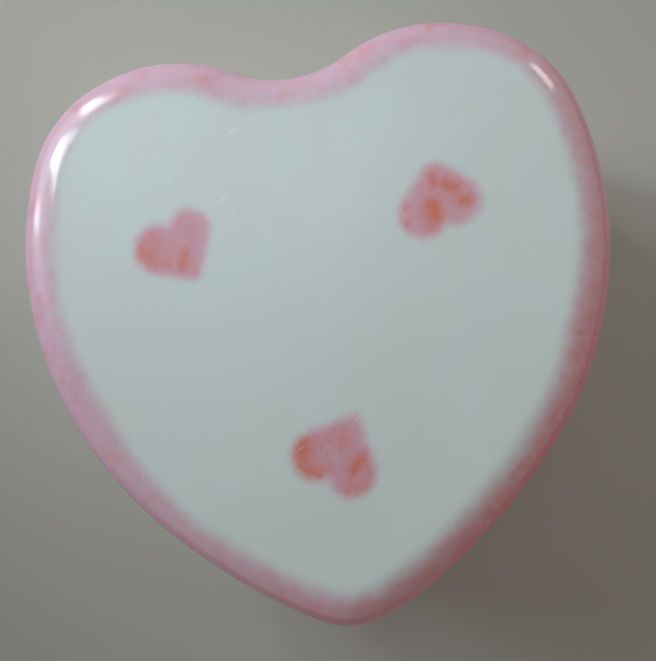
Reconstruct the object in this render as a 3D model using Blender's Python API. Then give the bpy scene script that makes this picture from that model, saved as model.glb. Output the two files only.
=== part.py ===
"""A heart-shaped ceramic trinket box: a dish, and a lift-off lid whose flange drops inside the dish's rim.

Each piece is one cast shell, built as a stack of heart-shaped rings that follows its cross-section: from the
middle of its upper face, out and down round the wall, and back to the middle of its lower face.
The frame has +Z up, the tip of the heart towards -Y, and its origin under the middle of the foot.
"""

import math

import bmesh
import bpy

MM = 0.001

# Driving dimensions
WIDTH = 78.0 * MM  # across the two lobes of the lid
HEIGHT = 40.0 * MM  # from the foot to the middle of the lid's top
BASE_HEIGHT = 27.0 * MM
SEAT_GAP = 0.3 * MM  # between the base's rim and the lid's seat

# The heart's right half, from the bottom of the cleft round to the tip, as arcs of (radius / width, turn in
# degrees). A positive turn is hollow and a negative one is full. What is left follows from these: the lower
# flank's radius brings the tip onto the centre line, and the tip's turn makes the outline close smoothly.
UPPER_ARCS = [(0.192, 29.5), (0.282, -53.3), (0.232, -50.2), (0.618, -51.8)]
LOWER_FLANK_TURN = -28.0
TIP_RADIUS = 0.131
ARC_STEP = 6.0  # degrees turned by one straight segment

# The lid
LID_EDGE_WIDTH = 5.5 * MM  # the rounded edge of the top is a quarter of an ellipse
LID_EDGE_DROP = 4.5 * MM
LID_DOME = 0.8 * MM  # rise of the top from the rounded edge to its middle
LID_THICKNESS = 4.0 * MM
CEILING_FILLET = 2.0 * MM
FLANGE_DEPTH = 4.5 * MM  # below the seat
FLANGE_THICKNESS = 2.4 * MM
FLANGE_CLEARANCE = 0.6 * MM  # to the base's wall, all round

# The base
RIM_INSET = 0.3 * MM  # the lid stands this far out past the base's rim
WALL_THICKNESS = 3.2 * MM
WALL_TUCK = 2.0 * MM  # how far the wall draws in from its rim to its foot
FLOOR_TOP = 5.2 * MM
FLOOR_FILLET = 3.0 * MM
FOOT_EDGE_RADIUS = 2.0 * MM
FOOT_RING_WIDTH = 3.0 * MM
RECESS_DEPTH = 1.2 * MM  # of the underside, inside the foot ring

SMALL_RADIUS = 0.7 * MM  # on the rim's, the seat's and the flange's edges
EDGE_STEPS = 6
CORNER_STEPS = 4
SMALL_CORNER_STEPS = 2
WALL_STEPS = 4
DOME_STEPS = 4

GLAZE_ROUGHNESS = 0.12
LID_COLOUR = (0.80, 0.84, 0.82, 1.0)
BASE_COLOUR = (0.77, 0.81, 0.79, 1.0)
SHARP_ANGLE = math.radians(40)

# Directions in a cross-section, in degrees. -INWARD points inward too, for an arc that passes through DOWN.
OUTWARD, UP, INWARD, DOWN = 0, 90, 180, -90


def clear_scene():
    for obj in list(bpy.data.objects):
        bpy.data.objects.remove(obj)


def walk_arcs(arcs):
    """(x, y, heading) along a chain of arcs of (radius, turn) that leaves the origin along +X."""
    points = [(0.0, 0.0, 0.0)]
    for radius, turn in arcs:
        x, y, start = points[-1]
        side = math.copysign(radius, turn)
        steps = math.ceil(abs(turn) / ARC_STEP)
        for step in range(1, steps + 1):
            heading = start + math.radians(turn * step / steps)
            along = x + side * (math.sin(heading) - math.sin(start))
            up = y - side * (math.cos(heading) - math.cos(start))
            points.append((along, up, heading))
    return points


def half_outline():
    """The right half of the heart at width 1, with its lower flank's radius solved from the others."""
    tip_turn = -180.0 - LOWER_FLANK_TURN - sum(turn for _, turn in UPPER_ARCS)

    def half_with(flank_radius):
        return walk_arcs([*UPPER_ARCS, (flank_radius, LOWER_FLANK_TURN), (TIP_RADIUS, tip_turn)])

    # The last point's distance from the centre line grows in proportion to the flank's radius.
    end_at_0 = half_with(0.0)[-1][0]
    end_at_1 = half_with(1.0)[-1][0]
    return half_with(end_at_0 / (end_at_0 - end_at_1))


def heart_outline():
    """(x, y, outward x, outward y) round the lid's outer wall, clockwise, centred on its own bounding box."""
    half = half_outline()
    unit = WIDTH / (2 * max(x for x, _, _ in half))
    middle = (max(y for _, y, _ in half) + min(y for _, y, _ in half)) / 2
    right = [
        (unit * x, unit * (y - middle), -math.sin(heading), math.cos(heading))
        for x, y, heading in half
    ]
    left = [(-x, y, -out_x, out_y) for x, y, out_x, out_y in reversed(right[1:-1])]
    return right + left


def corner(inset, z, radius, start, end, steps=SMALL_CORNER_STEPS, drop=None):
    """Cross-section points of (inset, z) along an arc round a centre, between two directions.

    Where drop is given, the arc is elliptical: radius wide and drop high.
    """
    high = radius if drop is None else drop
    angles = [math.radians(start + (end - start) * step / steps) for step in range(steps + 1)]
    return [(inset - radius * math.cos(a), z + high * math.sin(a)) for a in angles]


def lid_section():
    """The lid's cross-section, from the edge of its top down to the edge of its ceiling."""
    seat = BASE_HEIGHT + SEAT_GAP
    flange_low = seat - FLANGE_DEPTH
    flange_out = RIM_INSET + WALL_THICKNESS + FLANGE_CLEARANCE
    flange_in = flange_out + FLANGE_THICKNESS
    top_edge = HEIGHT - LID_DOME
    ceiling = top_edge - LID_THICKNESS
    fillet = CEILING_FILLET
    wall_top = top_edge - LID_EDGE_DROP
    small = SMALL_RADIUS
    return [
        *corner(LID_EDGE_WIDTH, wall_top, LID_EDGE_WIDTH, UP, OUTWARD, EDGE_STEPS, LID_EDGE_DROP),
        *corner(small, seat + small, small, OUTWARD, DOWN),
        (flange_out, seat),
        *corner(flange_out + small, flange_low + small, small, OUTWARD, DOWN),
        *corner(flange_in - small, flange_low + small, small, DOWN, -INWARD),
        *corner(flange_in + fillet, ceiling - fillet, fillet, OUTWARD, UP, CORNER_STEPS),
    ]


def outer_wall_inset(z):
    """The base's outer wall, which draws in more and more towards the foot."""
    return RIM_INSET + WALL_TUCK * (1 - z / BASE_HEIGHT) ** 2


def base_section():
    """The base's cross-section, from the edge of its floor, up over the rim, and down to its recess."""
    small = SMALL_RADIUS
    rim_corner_z = BASE_HEIGHT - small
    fillet_top = FLOOR_TOP + FLOOR_FILLET
    wall_foot = outer_wall_inset(fillet_top) + WALL_THICKNESS
    rim_in = RIM_INSET + WALL_THICKNESS
    foot = FOOT_EDGE_RADIUS
    ring_out = outer_wall_inset(foot) + foot
    ring_in = ring_out + FOOT_RING_WIDTH
    wall_heights = [
        rim_corner_z + (foot - rim_corner_z) * step / WALL_STEPS for step in range(1, WALL_STEPS)
    ]
    return [
        *corner(wall_foot + FLOOR_FILLET, fillet_top, FLOOR_FILLET, DOWN, OUTWARD, CORNER_STEPS),
        *corner(rim_in - small, rim_corner_z, small, INWARD, UP),
        *corner(RIM_INSET + small, rim_corner_z, small, UP, OUTWARD),
        *[(outer_wall_inset(z), z) for z in wall_heights],
        *corner(ring_out, foot, foot, OUTWARD, DOWN, CORNER_STEPS),
        (ring_in, 0.0),
        (ring_in + RECESS_DEPTH, RECESS_DEPTH),
    ]


def add_ring(mesh, outline, inset, z, share=1.0):
    """A ring of vertices that runs parallel to the outline, at its full size or shrunk towards the middle."""
    return [
        mesh.verts.new((share * (x - inset * out_x), share * (y - inset * out_y), z))
        for x, y, out_x, out_y in outline
    ]


def disc_rings(mesh, outline, edge, rise, steps):
    """The rings between the edge of a flat or domed face and its middle, and the vertex in the middle."""
    inset, z = edge
    shares = [1 - step / steps for step in range(1, steps)]
    rings = [add_ring(mesh, outline, inset, z + rise * (1 - s * s), s) for s in shares]
    return rings, mesh.verts.new((0.0, 0.0, z + rise))


def cast_shell(name, section, rise, steps, joint_height, material):
    """One closed body through the rings of a cross-section, with its origin on the lid's line of travel."""
    outline = heart_outline()
    mesh = bmesh.new()
    upper, top = disc_rings(mesh, outline, section[0], rise, steps)
    lower, bottom = disc_rings(mesh, outline, section[-1], rise, steps)
    rings = [*reversed(upper), *[add_ring(mesh, outline, inset, z) for inset, z in section], *lower]
    count = len(outline)
    for i in range(count):
        j = (i + 1) % count
        mesh.faces.new((top, rings[0][j], rings[0][i]))
        for above, below in zip(rings, rings[1:]):
            mesh.faces.new((above[i], above[j], below[j], below[i]))
        mesh.faces.new((rings[-1][i], rings[-1][j], bottom))
    bmesh.ops.translate(mesh, verts=mesh.verts, vec=(0.0, 0.0, -joint_height))
    data = bpy.data.meshes.new(name)
    mesh.to_mesh(data)
    mesh.free()
    data.shade_smooth()
    data.set_sharp_from_angle(angle=SHARP_ANGLE)
    data.materials.append(material)
    obj = bpy.data.objects.new(name, data)
    obj.location.z = joint_height
    bpy.context.scene.collection.objects.link(obj)
    return obj


def glaze(name, colour):
    material = bpy.data.materials.new(name)
    material.use_nodes = True
    shader = material.node_tree.nodes["Principled BSDF"]
    shader.inputs["Base Color"].default_value = colour
    shader.inputs["Roughness"].default_value = GLAZE_ROUGHNESS
    shader.inputs["Metallic"].default_value = 0.0
    return material


def make_base():
    """The dish: its floor and its underside are flat."""
    return cast_shell("base", base_section(), 0.0, 1, 0.0, glaze("base_glaze", BASE_COLOUR))


def make_lid():
    """The lid: its top is slightly domed, and its ceiling follows it. Its origin is in its seat's plane."""
    seat = BASE_HEIGHT + SEAT_GAP
    return cast_shell("lid", lid_section(), LID_DOME, DOME_STEPS, seat, glaze("lid_glaze", LID_COLOUR))


clear_scene()
make_base()
make_lid()
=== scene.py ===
"""Heart-shaped ceramic trinket box: the glazed, sponge-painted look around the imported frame."""

import math

import bpy
import numpy as np
from mathutils import Matrix, Vector


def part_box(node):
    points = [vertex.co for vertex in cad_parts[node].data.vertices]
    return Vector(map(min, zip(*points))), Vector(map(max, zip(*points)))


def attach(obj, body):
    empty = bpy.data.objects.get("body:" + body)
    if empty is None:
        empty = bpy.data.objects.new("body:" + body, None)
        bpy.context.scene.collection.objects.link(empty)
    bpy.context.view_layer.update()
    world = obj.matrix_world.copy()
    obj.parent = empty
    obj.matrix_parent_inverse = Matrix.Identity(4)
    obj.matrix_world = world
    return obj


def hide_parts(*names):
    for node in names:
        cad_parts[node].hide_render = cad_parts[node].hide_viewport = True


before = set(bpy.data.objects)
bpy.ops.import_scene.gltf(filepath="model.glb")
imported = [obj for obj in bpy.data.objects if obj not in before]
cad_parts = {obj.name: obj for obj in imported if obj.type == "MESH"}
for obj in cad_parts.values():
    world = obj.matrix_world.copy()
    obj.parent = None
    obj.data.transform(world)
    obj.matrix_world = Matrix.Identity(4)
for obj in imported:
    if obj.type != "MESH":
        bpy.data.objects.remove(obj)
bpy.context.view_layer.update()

MM = 0.001
LID_LOW, LID_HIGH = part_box("lid")
BASE_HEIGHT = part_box("base")[1].z / MM

# ---------------------------------------------------------------- the CAD's dimensions, in millimetres
WIDTH = (LID_HIGH.x - LID_LOW.x) / MM
LID_TOP = LID_HIGH.z / MM
FLANGE_Z = LID_LOW.z / MM
SEAT_GAP = 0.3
SEAT_Z = BASE_HEIGHT + SEAT_GAP

UPPER_ARCS = [(0.192, 29.5), (0.282, -53.3), (0.232, -50.2), (0.618, -51.8)]
LOWER_FLANK_TURN = -28.0
TIP_RADIUS = 0.131
ARC_STEP = 1.5

LID_EDGE_WIDTH = 5.5
LID_EDGE_DROP = 4.5
LID_DOME = 0.8
LID_THICKNESS = 4.0
CEILING_FILLET = 2.0
FLANGE_OUT = 4.1
FLANGE_IN = 6.5

RIM_INSET = 0.3
WALL_THICKNESS = 3.2
WALL_TUCK = 2.0
FLOOR_TOP = 5.2
FLOOR_FILLET = 3.0
FOOT_EDGE_RADIUS = 2.0
FOOT_RING_WIDTH = 3.0
RECESS_DEPTH = 1.2
SMALL_RADIUS = 0.7

OUTWARD, UP, INWARD, DOWN = 0.0, 90.0, 180.0, -90.0

# The meshes' fineness: the longest straight step in a section, steps round its corners, and rings.
SECTION_STEP = 0.8
SHOULDER_STEPS = 26
FILLET_STEPS = 10
CEILING_STEPS = 8
SMALL_STEPS = 6
WALL_ROWS = 28
TOP_RINGS = 64
INSIDE_RINGS = 30
UNDER_RINGS = 20

# ---------------------------------------------------------------- decoration, in millimetres on the lid
# The sponged band's reach in from the outline swings round the heart between a wide side and a
# narrow one. Places are shares of the way round, clockwise from the cleft.
BAND_MEAN = 4.4
BAND_SWING = 0.88
BAND_WIDEST = 0.90
# Single touches of the sponge that reach further in, or less far: (place, how much further).
BAND_TOUCHES = [(0.0, -0.4), (0.05, 0.3), (0.30, 0.7), (0.60, -0.65), (0.70, 0.6), (0.85, -0.35)]
TOUCH_WIDTH = 0.028
FOOT_BAND_TOP = 6.0
# Painted shade: the band's pink is deepest on the side turned away from the lights, and gathers there
# this tightly.
PAINTED_SHADE_SIDE = 130.0  # where the pink is deepest, in degrees clockwise from the cleft
PAINTED_SHADE_FOCUS = 2.5

# Each stamp has a place on the lid and a turn in degrees. Its two lobes, (x, y, radius), and its
# tip, (y, radius), are in its own frame. Its dabs of red are in the lid's frame, each a short
# stroke from one point to another with a radius and a strength.
STAMPS = [
    {
        "at": (-16.8, 11.8),
        "turn": 23.0,
        "left": (-2.5, 1.0, 3.3),
        "right": (2.2, 1.2, 2.8),
        "tip": (-3.9, 1.1),
        "dabs": [
            ((-21.8, 12.2), (-20.6, 10.6), 1.3, 0.50),
            ((-20.3, 13.2), (-19.7, 13.0), 0.8, 0.40),
            ((-19.6, 9.8), (-18.4, 9.6), 0.9, 0.35),
            ((-16.1, 10.9), (-16.6, 9.3), 0.8, 0.65),
        ],
    },
    {
        "at": (17.4, 13.4),
        "turn": 182.4,
        "left": (-1.9, 0.7, 3.25),
        "right": (2.4, 1.8, 3.15),
        "tip": (-2.1, 2.5),
        "dabs": [
            ((16.8, 16.3), (16.9, 15.3), 0.7, 0.85),
            ((18.3, 15.1), (19.4, 14.4), 1.0, 0.80),
            ((20.1, 12.6), (21.0, 12.7), 0.8, 0.85),
            ((16.3, 12.5), (16.5, 11.1), 1.15, 1.00),
            ((12.8, 12.8), (12.7, 12.6), 0.7, 0.45),
            ((12.4, 10.9), (12.7, 10.4), 0.8, 0.40),
            ((15.3, 9.7), (16.2, 9.7), 0.8, 0.40),
        ],
    },
    {
        "at": (0.8, -16.6),
        "turn": 147.0,
        "left": (-2.4, 1.7, 3.2),
        "right": (2.3, 2.0, 3.2),
        "tip": (-4.2, 0.5),
        "dabs": [
            ((-3.7, -15.0), (-4.4, -18.0), 1.3, 0.85),
            ((-4.0, -18.2), (-2.6, -19.4), 1.1, 0.75),
            ((-1.6, -19.0), (-0.7, -18.8), 0.8, 0.45),
            ((3.4, -18.0), (2.1, -19.3), 0.8, 0.80),
            ((4.4, -18.6), (4.2, -20.8), 1.2, 0.35),
            ((-1.0, -15.2), (0.6, -14.0), 1.3, 0.20),
            ((1.5, -14.7), (1.1, -16.3), 0.9, 0.45),
            ((1.4, -21.5), (3.0, -21.7), 1.0, 0.50),
        ],
    },
]

# Bare clay: how far it runs up from the seat and the foot and down from the rim, and the height
# over the seat where the lid is surely glazed. The lid's pink starts a little over the seat.
CLAY_OVER_SEAT = 0.35
CLAY_OVER_FOOT = 0.25
CLAY_UNDER_RIM = 0.45
GLAZED_OVER_SEAT = 0.6
PAINTED_OVER_SEAT = 0.1

# Pooled glaze: its middle's height under the lid's ceiling and over the base's floor, and its reach.
POOL_UNDER_CEILING = 0.8
POOL_OVER_FLOOR = 0.5
LID_POOL_REACH = 1.6
BASE_POOL_REACH = 1.5

FAR = 9.0  # a pattern's distance in millimetres where it is absent


# ---------------------------------------------------------------- outline and sections
def walk_arcs(arcs):
    """(x, y, heading) along arcs given as (radius, signed turn), from the origin along +X."""
    points = [(0.0, 0.0, 0.0)]
    for radius, turn in arcs:
        x, y, start = points[-1]
        side = math.copysign(radius, turn)
        steps = math.ceil(abs(turn) / ARC_STEP)
        for step in range(1, steps + 1):
            heading = start + math.radians(turn * step / steps)
            along = x + side * (math.sin(heading) - math.sin(start))
            up = y - side * (math.cos(heading) - math.cos(start))
            points.append((along, up, heading))
    return points


def half_outline():
    """The right half, from the cleft to the tip; the lower flank's radius closes it on the axis."""
    tip_turn = -180.0 - LOWER_FLANK_TURN - sum(turn for _, turn in UPPER_ARCS)

    def half_with(flank_radius):
        return walk_arcs([*UPPER_ARCS, (flank_radius, LOWER_FLANK_TURN), (TIP_RADIUS, tip_turn)])

    end_at_0 = half_with(0.0)[-1][0]
    end_at_1 = half_with(1.0)[-1][0]
    return half_with(end_at_0 / (end_at_0 - end_at_1))


def heart_outline():
    """Rows of (x, y, outward x, outward y), clockwise from the cleft as seen from above."""
    half = half_outline()
    unit = WIDTH / (2 * max(x for x, _, _ in half))
    middle = (max(y for _, y, _ in half) + min(y for _, y, _ in half)) / 2
    right = [
        (unit * x, unit * (y - middle), -math.sin(heading), math.cos(heading))
        for x, y, heading in half
    ]
    left = [(-x, y, -out_x, out_y) for x, y, out_x, out_y in reversed(right[1:-1])]
    return np.array(right + left)


OUTLINE = heart_outline()
AROUND = len(OUTLINE)


def arc_shares():
    """Each outline point's share of the way round."""
    closed = np.vstack([OUTLINE, OUTLINE[:1]])[:, :2]
    lengths = np.linalg.norm(np.diff(closed, axis=0), axis=1)
    return np.concatenate([[0.0], np.cumsum(lengths)[:-1]]) / lengths.sum()


ARC_SHARE = arc_shares()


def corner(inset, z, radius, start, end, steps, drop=None):
    """Points round a quarter turn about (inset, z); the section's angles are OUTWARD, UP and so on."""
    high = radius if drop is None else drop
    points = []
    for angle in np.radians(np.linspace(start, end, steps + 1)):
        points.append((inset - radius * math.cos(angle), z + high * math.sin(angle)))
    return points


def straight(start, end, step):
    """Points from start to end, both left out, at most step apart."""
    count = math.ceil(math.dist(start, end) / step)
    return [tuple(p) for p in np.linspace(start, end, count + 1)[1:-1]]


def joined(parts, step):
    """One run of section points, with straight stretches between the parts filled in."""
    run = list(parts[0])
    for part in parts[1:]:
        run += straight(run[-1], part[0], step) + list(part)
    return run


def section_rows(section):
    """One ring of (x, y, z) for each section point."""
    rows = []
    for inset, z in section:
        ring = OUTLINE[:, :2] - inset * OUTLINE[:, 2:]
        rows.append(np.column_stack([ring, np.full(AROUND, z)]))
    return rows


def disc_rows(inset, z_edge, rise, count):
    """Rings that shrink towards the middle, in order from the edge inwards. The disc meets its edge
    level, so that it joins a rounded edge without a crease."""
    ring = OUTLINE[:, :2] - inset * OUTLINE[:, 2:]
    rows = []
    for share in np.linspace(1.0, 0.0, count + 1)[1:-1]:
        z = z_edge + rise * (1 - share**2) ** 2
        rows.append(np.column_stack([share * ring, np.full(AROUND, z)]))
    return rows


def cast_waver(points):
    """The slight unevenness of slip-cast ware. It is the same at all heights, so that the pieces
    still fit, except that it leaves the ground foot flat."""
    x, y = points[:, 0], points[:, 1]
    above_foot = np.clip(points[:, 2] / FOOT_BAND_TOP, 0.0, 1.0)
    moved = points.copy()
    moved[:, 0] += 0.05 * np.sin(0.19 * y + 0.11 * x + 1.0) + 0.03 * np.sin(0.33 * y - 0.4)
    moved[:, 1] += 0.05 * np.sin(0.21 * x - 0.09 * y + 2.2) + 0.03 * np.sin(0.35 * x + 1.7)
    rise = 0.04 * np.sin(0.17 * x + 0.05 * y + 0.6) * np.sin(0.16 * y - 0.07 * x + 0.3)
    rise += 0.02 * np.sin(0.31 * x + 0.24 * y + 0.9)
    moved[:, 2] += above_foot * rise
    return moved


def loft(name, top_rows, top_z, side_rows, bottom_rows, bottom_z):
    """A closed mesh of rings from the top's middle, over the edge, to the bottom's middle."""
    rows = top_rows[::-1] + side_rows + bottom_rows
    points = np.vstack([[[0.0, 0.0, top_z]], *rows, [[0.0, 0.0, bottom_z]]])
    first, last = 0, len(points) - 1
    faces = [(first, 1 + (i + 1) % AROUND, 1 + i) for i in range(AROUND)]
    for row in range(len(rows) - 1):
        above = 1 + row * AROUND
        below = above + AROUND
        for i in range(AROUND):
            j = (i + 1) % AROUND
            faces.append((above + i, above + j, below + j, below + i))
    end = 1 + (len(rows) - 1) * AROUND
    faces += [(end + i, end + (i + 1) % AROUND, last) for i in range(AROUND)]
    mesh = bpy.data.meshes.new(name)
    mesh.from_pydata(cast_waver(points) * MM, [], faces)
    mesh.update()
    mesh.validate()
    mesh.shade_smooth()
    obj = bpy.data.objects.new(name, mesh)
    bpy.context.scene.collection.objects.link(obj)
    return obj, points


# ---------------------------------------------------------------- pattern fields, in millimetres
def outline_distance(points):
    """Distance inwards from the outline as seen from above."""
    starts = OUTLINE[:, :2]
    runs = np.roll(starts, -1, axis=0) - starts
    squares = (runs**2).sum(axis=1)
    nearest = np.empty(len(points))
    for block in range(0, len(points), 2000):
        away = points[block : block + 2000, None, :2] - starts[None]
        share = np.clip((away * runs[None]).sum(axis=2) / squares, 0, 1)
        gap = away - share[..., None] * runs[None]
        nearest[block : block + 2000] = np.sqrt((gap**2).sum(axis=2)).min(axis=1)
    return nearest


def round_cone(points, start, end, start_radius, end_radius):
    """Signed distance to two circles and the strip between their outer tangents."""
    run = end - start
    length_2 = run @ run
    shrink = start_radius - end_radius
    slant_2 = length_2 - shrink**2
    away = points - start
    along = away @ run
    beyond = along - length_2
    across_2 = ((away * length_2 - along[:, None] * run) ** 2).sum(axis=1)
    along_2 = along**2 * length_2
    beyond_2 = beyond**2 * length_2
    turn = math.copysign(shrink**2, shrink) * across_2
    to_end = np.sqrt(across_2 + beyond_2) / length_2 - end_radius
    to_start = np.sqrt(across_2 + along_2) / length_2 - start_radius
    to_strip = (np.sqrt(across_2 * slant_2 / length_2) + along * shrink) / length_2 - start_radius
    past_end = np.sign(beyond) * slant_2 * beyond_2 > turn
    before_start = np.sign(along) * slant_2 * along_2 < turn
    return np.where(past_end, to_end, np.where(before_start, to_start, to_strip))


def stamp_distance(points, stamp):
    """Signed distance to one stamped heart, less than zero inside it."""
    turn = math.radians(stamp["turn"])
    to_own = np.array([[math.cos(turn), -math.sin(turn)], [math.sin(turn), math.cos(turn)]])
    own = (points[:, :2] - np.array(stamp["at"])) @ to_own
    tip_y, tip_radius = stamp["tip"]
    tip = np.array([0.0, tip_y])
    sides = []
    for x, y, radius in (stamp["left"], stamp["right"]):
        sides.append(round_cone(own, np.array([x, y]), tip, radius, tip_radius))
    return np.minimum(*sides)


def dab_strength(points, stamp):
    """How red each point is: the strongest of the stamp's dabs there."""
    red = np.zeros(len(points))
    for start, end, radius, strength in stamp["dabs"]:
        start, end = np.array(start), np.array(end)
        run = end - start
        away = points[:, :2] - start
        share = np.clip(away @ run / (run @ run), 0, 1)
        gap = np.linalg.norm(away - share[:, None] * run, axis=1)
        red = np.maximum(red, strength * np.exp(-((gap / radius) ** 2)))
    return red


def band_reach(points):
    """How far in the sponged band reaches at each point's place round the outline."""
    angles = np.arctan2(points[:, 0], points[:, 1]) % (2 * math.pi)
    outline_angles = np.unwrap(np.arctan2(OUTLINE[:, 0], OUTLINE[:, 1]))
    share = np.interp(angles, outline_angles, ARC_SHARE)
    reach = BAND_MEAN + BAND_SWING * np.cos(2 * math.pi * (share - BAND_WIDEST))
    for place, further in BAND_TOUCHES:
        gap = (share - place + 0.5) % 1.0 - 0.5
        reach += further * np.exp(-((gap / TOUCH_WIDTH) ** 2))
    return reach


def painted_shade_share(points):
    """How much deeper the band's pink is: least at the upper left, towards the lights, and most at the
    lower right, away from them. This deepening is painted shade.
    """
    toward = np.arctan2(points[:, 0], points[:, 1]) - math.radians(PAINTED_SHADE_SIDE)
    return ((1 + np.cos(toward)) / 2) ** PAINTED_SHADE_FOCUS


def set_field(obj, name, values):
    attribute = obj.data.attributes.new(name, "FLOAT", "POINT")
    attribute.data.foreach_set("value", np.asarray(values, np.float32))


# ---------------------------------------------------------------- the lid and the base
def make_lid():
    edge_z = LID_TOP - LID_DOME
    ceiling_z = edge_z - LID_THICKNESS
    wall_top = edge_z - LID_EDGE_DROP
    shoulder = corner(
        LID_EDGE_WIDTH, wall_top, LID_EDGE_WIDTH, UP, OUTWARD, SHOULDER_STEPS, LID_EDGE_DROP
    )
    seat_edge = corner(
        SMALL_RADIUS, SEAT_Z + SMALL_RADIUS, SMALL_RADIUS, OUTWARD, DOWN, SMALL_STEPS
    )
    flange_low = FLANGE_Z + SMALL_RADIUS
    flange_out = FLANGE_OUT + SMALL_RADIUS
    flange_in = FLANGE_IN - SMALL_RADIUS
    flange = corner(flange_out, flange_low, SMALL_RADIUS, OUTWARD, DOWN, SMALL_STEPS)
    flange += corner(flange_in, flange_low, SMALL_RADIUS, DOWN, -INWARD, SMALL_STEPS)
    ceiling_inset = FLANGE_IN + CEILING_FILLET
    fillet_z = ceiling_z - CEILING_FILLET
    ceiling = corner(ceiling_inset, fillet_z, CEILING_FILLET, OUTWARD, UP, CEILING_STEPS)
    section = joined([shoulder, seat_edge, [(FLANGE_OUT, SEAT_Z)], flange, ceiling], SECTION_STEP)
    top = disc_rows(LID_EDGE_WIDTH, edge_z, LID_DOME, TOP_RINGS)
    inside = disc_rows(ceiling_inset, ceiling_z, LID_DOME, INSIDE_RINGS)
    lid, points = loft(
        "lid_shell", top, LID_TOP, section_rows(section), inside, ceiling_z + LID_DOME
    )
    shoulder_end = len(top) + len(shoulder)
    wall_end = len(top) + len(joined([shoulder, seat_edge], SECTION_STEP))
    paint_lid(lid, points, shoulder_end, wall_end, ceiling_z)
    return lid


def make_base():
    def tuck(z):
        """How far the outer wall has drawn in at height z."""
        return RIM_INSET + WALL_TUCK * (1 - z / BASE_HEIGHT) ** 2

    fillet_top = FLOOR_TOP + FLOOR_FILLET
    floor_inset = tuck(fillet_top) + WALL_THICKNESS + FLOOR_FILLET
    floor = corner(floor_inset, fillet_top, FLOOR_FILLET, DOWN, OUTWARD, FILLET_STEPS)
    rim_z = BASE_HEIGHT - SMALL_RADIUS
    rim_in = RIM_INSET + WALL_THICKNESS - SMALL_RADIUS
    rim_out = RIM_INSET + SMALL_RADIUS
    rim = corner(rim_in, rim_z, SMALL_RADIUS, INWARD, UP, SMALL_STEPS)
    rim += corner(rim_out, rim_z, SMALL_RADIUS, UP, OUTWARD, SMALL_STEPS)
    heights = np.linspace(rim_z - SECTION_STEP, FOOT_EDGE_RADIUS + SECTION_STEP, WALL_ROWS)
    wall = [(tuck(z), z) for z in heights]
    foot_inset = tuck(FOOT_EDGE_RADIUS) + FOOT_EDGE_RADIUS
    foot = corner(
        foot_inset, FOOT_EDGE_RADIUS, FOOT_EDGE_RADIUS, OUTWARD, DOWN, FILLET_STEPS
    )
    ring_in = foot_inset + FOOT_RING_WIDTH
    recess = [(ring_in, 0.0), (ring_in + RECESS_DEPTH, RECESS_DEPTH)]
    section = joined([floor, rim, wall, foot, recess], SECTION_STEP)
    inside = disc_rows(floor_inset, FLOOR_TOP, 0.0, INSIDE_RINGS)
    under = disc_rows(ring_in + RECESS_DEPTH, RECESS_DEPTH, 0.0, UNDER_RINGS)
    base, points = loft(
        "base_shell", inside, FLOOR_TOP, section_rows(section), under, RECESS_DEPTH
    )
    rim_end = len(inside) + len(joined([floor, rim], SECTION_STEP))
    foot_end = len(inside) + len(joined([floor, rim, wall, foot], SECTION_STEP))
    paint_base(base, points, rim_end, foot_end)
    return base


def row_numbers(points):
    """Each point's ring, counted from the loft's first middle point."""
    return (np.arange(len(points)) + AROUND - 1) // AROUND


def near(heights, height, reach):
    """One at a height, fading smoothly to nothing past reach above and below it."""
    return np.exp(-(((heights - height) / reach) ** 2))


def paint_lid(lid, points, shoulder_end, wall_end, ceiling_z):
    rows = row_numbers(points)
    heights = points[:, 2]
    on_top = rows <= shoulder_end
    inset = np.where(on_top, outline_distance(points), 0.0)
    wall_top = LID_TOP - LID_DOME - LID_EDGE_DROP
    down_wall = np.where(on_top, 0.0, np.clip(wall_top - heights, 0, None))
    painted = (rows <= wall_end) & (heights > SEAT_Z + PAINTED_OVER_SEAT)
    band = band_reach(points) - inset + down_wall
    set_field(lid, "band", np.where(painted, band, -FAR))
    # Painted shade: the band's pink deepens on the side away from the lights.
    set_field(lid, "painted_shade_rose", painted_shade_share(points))
    stamps = np.full(len(points), FAR)
    dabs = np.zeros(len(points))
    for stamp in STAMPS:
        stamps = np.minimum(stamps, stamp_distance(points, stamp))
        dabs = np.maximum(dabs, dab_strength(points, stamp))
    set_field(lid, "stamp", np.where(on_top, -stamps, -FAR))
    set_field(lid, "dab", np.where(on_top, dabs, 0.0))
    near_seat = ~on_top & (heights <= SEAT_Z + GLAZED_OVER_SEAT)
    set_field(lid, "clay", np.where(near_seat, SEAT_Z + CLAY_OVER_SEAT - heights, -FAR))
    pooled = near(heights, ceiling_z - POOL_UNDER_CEILING, LID_POOL_REACH)
    set_field(lid, "pool", np.where(on_top, 0.0, pooled))


def paint_base(base, points, rim_end, foot_end):
    rows = row_numbers(points)
    heights = points[:, 2]
    outside = rows > rim_end
    sponged = outside & (rows <= foot_end)
    set_field(base, "band", np.where(sponged, FOOT_BAND_TOP - heights, -FAR))
    # Painted shade: the foot band's pink deepens on the side away from the lights.
    set_field(base, "painted_shade_rose", painted_shade_share(points))
    set_field(base, "stamp", np.full(len(points), -FAR))
    set_field(base, "dab", np.zeros(len(points)))
    rim = heights - (BASE_HEIGHT - CLAY_UNDER_RIM)
    foot = np.where(outside, CLAY_OVER_FOOT - heights, -FAR)
    set_field(base, "clay", np.maximum(rim, foot))
    pooled = near(heights, FLOOR_TOP + POOL_OVER_FLOOR, BASE_POOL_REACH)
    set_field(base, "pool", np.where(outside, 0.0, pooled))


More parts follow.
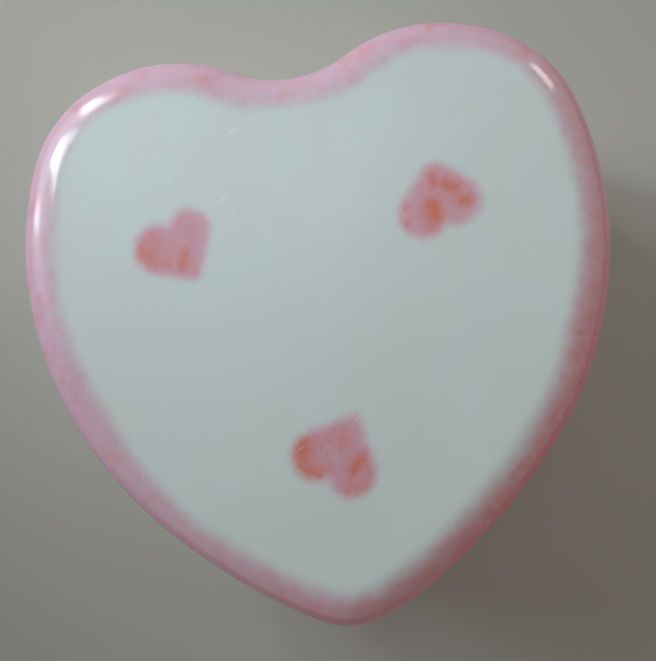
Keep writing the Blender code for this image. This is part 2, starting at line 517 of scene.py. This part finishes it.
# ---------------------------------------------------------------- glaze and paint
GLAZE_WHITE = (0.725, 0.812, 0.798, 1.0)
GLAZE_WARM = (0.722, 0.797, 0.774, 1.0)
GLAZE_POOLED = (0.640, 0.725, 0.720, 1.0)
BAND_PINK = (0.720, 0.450, 0.565, 1.0)
BAND_ROSE_AND_SHADE = (0.705, 0.248, 0.300, 1.0)
BAND_RED = (0.715, 0.310, 0.350, 1.0)
STAMP_PINK = (0.755, 0.360, 0.425, 1.0)
STAMP_LILAC = (0.750, 0.428, 0.560, 1.0)
STAMP_RED = (0.770, 0.170, 0.070, 1.0)
BARE_CLAY = (0.700, 0.660, 0.600, 1.0)
CLAY_DARK = (0.616, 0.581, 0.528, 1.0)
GLAZE_IOR = 1.52
SCRATCH_PALE = (0.820, 0.880, 0.870, 1.0)


class Shader:
    """A short way to write down a node tree."""

    def __init__(self, name):
        self.material = bpy.data.materials.new(name)
        self.material.use_nodes = True
        self.tree = self.material.node_tree
        self.tree.nodes.clear()

    def node(self, kind, inputs=None, **settings):
        made = self.tree.nodes.new(kind)
        for key, value in settings.items():
            setattr(made, key, value)
        for key, value in (inputs or {}).items():
            if isinstance(value, bpy.types.NodeSocket):
                self.tree.links.new(value, made.inputs[key])
            else:
                made.inputs[key].default_value = value
        return made

    def field(self, name):
        return self.node("ShaderNodeAttribute", attribute_name=name).outputs["Fac"]

    def noise(self, cell_mm, detail=2.0, rough=0.5, offset=0.0, stretch=1.0, turn=0.0):
        """Noise with features about cell_mm across, as a value from 0 to 1 about a half. They are
        stretch times as long along +Y turned by turn degrees."""
        place = self.node("ShaderNodeTexCoord").outputs["Object"]
        mapped = self.node(
            "ShaderNodeMapping",
            {
                "Vector": place,
                "Location": (-offset, -offset, -offset),
                "Rotation": (0.0, 0.0, math.radians(turn)),
                "Scale": (1.0, stretch, 1.0),
            },
            vector_type="TEXTURE",
        ).outputs[0]
        inputs = {
            "Vector": mapped,
            "Scale": 1.0 / (cell_mm * MM),
            "Detail": detail,
            "Roughness": rough,
        }
        return self.node("ShaderNodeTexNoise", inputs).outputs["Fac"]

    def math(self, operation, first, second=0.0, third=0.0):
        inputs = {0: first, 1: second, 2: third}
        return self.node("ShaderNodeMath", inputs, operation=operation).outputs[0]

    def plus_noise(self, value, noise, amount):
        """value + amount * (noise - 0.5) * 2"""
        centred = self.math("MULTIPLY_ADD", noise, 2.0 * amount, -amount)
        return self.math("ADD", value, centred)

    def ramp(self, value, low, high, to_low=0.0, to_high=1.0):
        """A smooth step from to_low to to_high as value goes from low to high."""
        inputs = {
            "Value": value,
            "From Min": low,
            "From Max": high,
            "To Min": to_low,
            "To Max": to_high,
        }
        made = self.node("ShaderNodeMapRange", inputs, interpolation_type="SMOOTHSTEP")
        return made.outputs["Result"]

    def mix(self, amount, first, second):
        """Colour: first where amount is 0, second where it is 1."""
        inputs = {0: amount, 6: first, 7: second}
        return self.node("ShaderNodeMix", inputs, data_type="RGBA").outputs[2]


def glazed_ceramic(name):
    s = Shader(name)
    grain = s.noise(0.55, 3.0, 0.6)
    blotch = s.noise(1.9, 3.0, 0.55, offset=0.3)
    drift = s.noise(7.0, 2.0, 0.5, offset=0.7)

    # White glaze, slightly uneven, greener and darker where it has pooled.
    colour = s.mix(s.ramp(drift, 0.3, 0.7), GLAZE_WHITE, GLAZE_WARM)
    pool = s.math("MULTIPLY", s.field("pool"), s.ramp(blotch, 0.2, 0.8, 0.6, 1.0))
    colour = s.mix(pool, colour, GLAZE_POOLED)

    # Sponged band: thin and patchy at its inner edge, fuller and redder further out. The redder rose
    # only shows towards the lower right, away from the lights, where it is painted shade.
    band = s.plus_noise(s.field("band"), drift, 0.5)
    band = s.plus_noise(band, blotch, 0.6)
    band = s.plus_noise(band, grain, 0.3)
    cover = s.ramp(band, -1.6, 1.0)
    depth = s.ramp(s.field("band"), 0.0, 3.5, 0.82, 0.98)
    thickness = s.plus_noise(depth, grain, 0.10)
    thickness = s.plus_noise(thickness, blotch, 0.14)
    rosy = s.ramp(s.plus_noise(s.field("band"), blotch, 1.5), -0.8, 2.6)
    # The rose is laid on only towards the lower right, away from the lights, as painted shade; its
    # colour is both the band's deeper rose and that shade.
    painted_shade_rose = s.math("MULTIPLY", rosy, s.field("painted_shade_rose"))
    paint = s.mix(painted_shade_rose, BAND_PINK, BAND_ROSE_AND_SHADE)
    spots = s.noise(3.2, 1.0, 0.5, offset=1.9)
    paint = s.mix(s.ramp(spots, 0.48, 0.78, 0.0, 0.6), paint, BAND_RED)
    colour = s.mix(s.math("MULTIPLY", cover, thickness), colour, paint)

    # Stamped hearts: lilac and thin at their soft edges, with red dabs.
    stamp = s.plus_noise(s.field("stamp"), blotch, 0.35)
    stamp = s.plus_noise(stamp, grain, 0.20)
    stamped = s.ramp(stamp, -0.95, 0.95)
    lilac = s.math("MULTIPLY", s.ramp(stamp, 3.2, 0.2), s.ramp(spots, 0.35, 0.65, 0.4, 1.0))
    ink = s.mix(lilac, STAMP_PINK, STAMP_LILAC)
    dab = s.math("MULTIPLY", s.field("dab"), s.ramp(blotch, 0.3, 0.7, 0.85, 1.10))
    ink = s.mix(dab, ink, STAMP_RED)
    inked = s.math("MULTIPLY", stamped, s.ramp(grain, 0.2, 0.8, 0.88, 1.0))
    colour = s.mix(inked, colour, ink)

    # Fine scratches in the glaze.
    lines = s.noise(0.65, 1.0, 0.4, offset=2.3, stretch=4.0, turn=-52.0)
    patches = s.noise(9.0, 1.0, 0.4, offset=3.1)
    scratch = s.math("MULTIPLY", s.ramp(lines, 0.66, 0.86), s.ramp(patches, 0.50, 0.64))
    colour = s.mix(s.math("MULTIPLY", scratch, 0.4), colour, SCRATCH_PALE)

    # Bare clay where the pieces touch in the kiln.
    clay = s.ramp(s.plus_noise(s.field("clay"), blotch, 0.25), -0.12, 0.12)
    tooth = s.noise(0.35, 3.0, 0.7, offset=4.2)
    bare = s.mix(s.ramp(tooth, 0.3, 0.7), BARE_CLAY, CLAY_DARK)
    colour = s.mix(clay, colour, bare)

    # Glossy glaze, duller on scratches and matt on clay, with a faint orange peel.
    gloss = s.ramp(drift, 0.2, 0.8, 0.12, 0.17)
    rough = s.math("MULTIPLY_ADD", scratch, 0.25, gloss)
    rough = s.math("MULTIPLY_ADD", clay, 0.60, rough)
    peel = s.noise(3.2, 1.0, 0.4, offset=5.0)
    height = s.math("MULTIPLY_ADD", scratch, -0.2, peel)
    height = s.math("MULTIPLY_ADD", s.math("MULTIPLY", tooth, clay), 2.5, height)
    bump = s.node(
        "ShaderNodeBump", {"Strength": 0.6, "Distance": 0.00003, "Height": height}
    ).outputs["Normal"]
    shader = s.node(
        "ShaderNodeBsdfPrincipled",
        {"Base Color": colour, "Roughness": rough, "Normal": bump, "IOR": GLAZE_IOR},
    )
    output = s.node("ShaderNodeOutputMaterial")
    s.tree.links.new(shader.outputs[0], output.inputs["Surface"])
    return s.material


def dress(piece, node, body, material):
    piece.data.materials.append(material)
    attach(piece, body)
    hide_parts(node)


# ---------------------------------------------------------------- floor, light and camera
# Sizes and distances from here on are in metres, and a glow is (azimuth, elevation, reach, colour).
FLOOR_RADIUS = 0.34
FLOOR_PAPER = (0.50, 0.475, 0.43, 1.0)
FLOOR_ROUGHNESS = 0.8

DAYLIGHT = (0.88, 0.98, 1.0)
SKYLIGHT = (0.78, 0.87, 1.0)
LIGHT_DISTANCE = 0.28
SKY_DISTANCE = 1.1 * LIGHT_DISTANCE
WINDOW_SPREAD = 50.0
SKY_SPREAD = 58.0
ALL_ROUND = 180.0
# The lights are placed by direction and distance from the centre, and turned to face the aim.
LIGHT_CENTRE = Vector((0.0, 0.0, LID_TOP)) * MM
LIGHT_AIM = Vector((-24.0, 44.0, LID_TOP)) * MM

WORLD_DIM = (0.030, 0.028, 0.025)
BACKDROP = (0.55, 0.54, 0.51, 1.0)
GLOWS = [
    (5.0, 20.0, 75.0, (0.34, 0.34, 0.34)),
    (95.0, -12.0, 75.0, (0.72, 0.62, 0.51)),
    (-145.0, -8.0, 80.0, (0.52, 0.49, 0.48)),
]

# The camera lies in this direction from its aim.
CAMERA_AIM = Vector((1.13, -1.62, LID_TOP - 0.4)) * MM
CAMERA_DISTANCE = 107.2 * MM
CAMERA_AZIMUTH = 151.54
CAMERA_ELEVATION = 81.83
PICTURE_UP_AZIMUTH = 7.0
SENSOR_WIDTH_MM = 36.0
LENS_MM = 46.3
CLIP_START = 0.005


def direction(azimuth, elevation):
    """Azimuth in degrees from +Y towards +X."""
    turn, lift = math.radians(azimuth), math.radians(elevation)
    return Vector(
        (math.sin(turn) * math.cos(lift), math.cos(turn) * math.cos(lift), math.sin(lift))
    )


def make_floor():
    """A round table top, which ends before the lights stand on it."""
    mesh = bpy.data.meshes.new("floor")
    rim = [direction(azimuth, 0.0) * FLOOR_RADIUS for azimuth in range(0, 360, 3)]
    mesh.from_pydata(rim, [], [tuple(reversed(range(len(rim))))])
    floor = bpy.data.objects.new("floor", mesh)
    bpy.context.scene.collection.objects.link(floor)
    material = bpy.data.materials.new("floor_paper")
    material.use_nodes = True
    shader = material.node_tree.nodes["Principled BSDF"]
    shader.inputs["Base Color"].default_value = FLOOR_PAPER
    shader.inputs["Roughness"].default_value = FLOOR_ROUGHNESS
    mesh.materials.append(material)


def soft_light(name, azimuth, elevation, distance, wide, high, radiance, colour, spread=ALL_ROUND):
    """A rectangular light, wide and high in degrees as seen from the lid's middle. It is turned to a
    place past the lid's upper left edge, and a narrow spread dims it away from there."""
    width = 2 * distance * math.tan(math.radians(wide / 2))
    height = 2 * distance * math.tan(math.radians(high / 2))
    data = bpy.data.lights.new(name, "AREA")
    data.shape = "RECTANGLE"
    data.size = width
    data.size_y = height
    data.energy = radiance * math.pi * width * height
    if spread < ALL_ROUND:
        half = math.radians(spread / 2)
        data.energy *= 1 - half / math.tan(half)
        data.spread = 2 * half
    data.color = colour
    lamp = bpy.data.objects.new(name, data)
    lamp.location = LIGHT_CENTRE + distance * direction(azimuth, elevation)
    lamp.rotation_euler = (lamp.location - LIGHT_AIM).to_track_quat("Z", "Y").to_euler()
    lamp.visible_camera = False
    bpy.context.scene.collection.objects.link(lamp)


def make_lights():
    soft_light("window_left", -66.8, 14.5, LIGHT_DISTANCE, 5.2, 18.0, 9.3, DAYLIGHT, WINDOW_SPREAD)
    soft_light("window_middle", -49.8, 36.5, LIGHT_DISTANCE, 8.8, 27.0, 18.5, DAYLIGHT, WINDOW_SPREAD)
    soft_light("window_right", -34.3, 25.0, LIGHT_DISTANCE, 6.2, 28.0, 16.0, DAYLIGHT, WINDOW_SPREAD)
    soft_light("sky", -54.0, 21.0, SKY_DISTANCE, 52.0, 50.0, 3.6, SKYLIGHT, SKY_SPREAD)
    soft_light("lamp_far", 46.5, 22.5, LIGHT_DISTANCE, 10.0, 14.0, 7.0, DAYLIGHT)


def glow(tree, place, azimuth, elevation, reach, colour):
    """World light that fades smoothly away from one direction, over reach degrees."""
    dot = tree.nodes.new("ShaderNodeVectorMath")
    dot.operation = "DOT_PRODUCT"
    dot.inputs[1].default_value = direction(azimuth, elevation)
    fade = tree.nodes.new("ShaderNodeMapRange")
    fade.interpolation_type = "SMOOTHSTEP"
    fade.inputs["From Min"].default_value = math.cos(math.radians(reach))
    scale = tree.nodes.new("ShaderNodeVectorMath")
    scale.operation = "SCALE"
    scale.inputs[0].default_value = colour
    tree.links.new(place, dot.inputs[0])
    tree.links.new(dot.outputs["Value"], fade.inputs["Value"])
    tree.links.new(fade.outputs["Result"], scale.inputs["Scale"])
    return scale.outputs[0]


def make_world():
    """Dim warm light all round, a pale glow from behind the object, a warm one from the right and one
    from the lower left, with a plain pale backdrop to look at."""
    world = bpy.data.worlds.new("studio")
    world.use_nodes = True
    tree = world.node_tree
    place = tree.nodes.new("ShaderNodeTexCoord").outputs["Generated"]
    light = None
    for azimuth, elevation, reach, colour in GLOWS:
        total = tree.nodes.new("ShaderNodeVectorMath")
        total.operation = "ADD"
        total.inputs[1].default_value = WORLD_DIM
        if light:
            tree.links.new(light, total.inputs[1])
        tree.links.new(glow(tree, place, azimuth, elevation, reach, colour), total.inputs[0])
        light = total.outputs[0]
    path = tree.nodes.new("ShaderNodeLightPath")
    shown = tree.nodes.new("ShaderNodeMix")
    shown.data_type = "RGBA"
    shown.inputs[7].default_value = BACKDROP
    tree.links.new(path.outputs["Is Camera Ray"], shown.inputs[0])
    tree.links.new(light, shown.inputs[6])
    tree.links.new(shown.outputs[2], tree.nodes["Background"].inputs["Color"])
    bpy.context.scene.world = world


def make_camera():
    """The photograph's view, from almost straight above."""
    data = bpy.data.cameras.new("camera")
    data.sensor_width = SENSOR_WIDTH_MM
    data.lens = LENS_MM
    data.clip_start = CLIP_START
    camera = bpy.data.objects.new("camera", data)
    bpy.context.scene.collection.objects.link(camera)
    back = direction(CAMERA_AZIMUTH, CAMERA_ELEVATION)
    right = (-back).cross(direction(PICTURE_UP_AZIMUTH, 0.0)).normalized()
    up = back.cross(right)
    pose = Matrix((right, up, back)).transposed().to_4x4()
    pose.translation = CAMERA_AIM + CAMERA_DISTANCE * back
    camera.matrix_world = pose
    bpy.context.scene.camera = camera


dress(make_lid(), "lid", "lid", glazed_ceramic("lid_glaze"))
dress(make_base(), "base", "base", glazed_ceramic("base_glaze"))
make_floor()
make_lights()
make_world()
make_camera()
bpy.context.scene.view_settings.view_transform = "Standard"
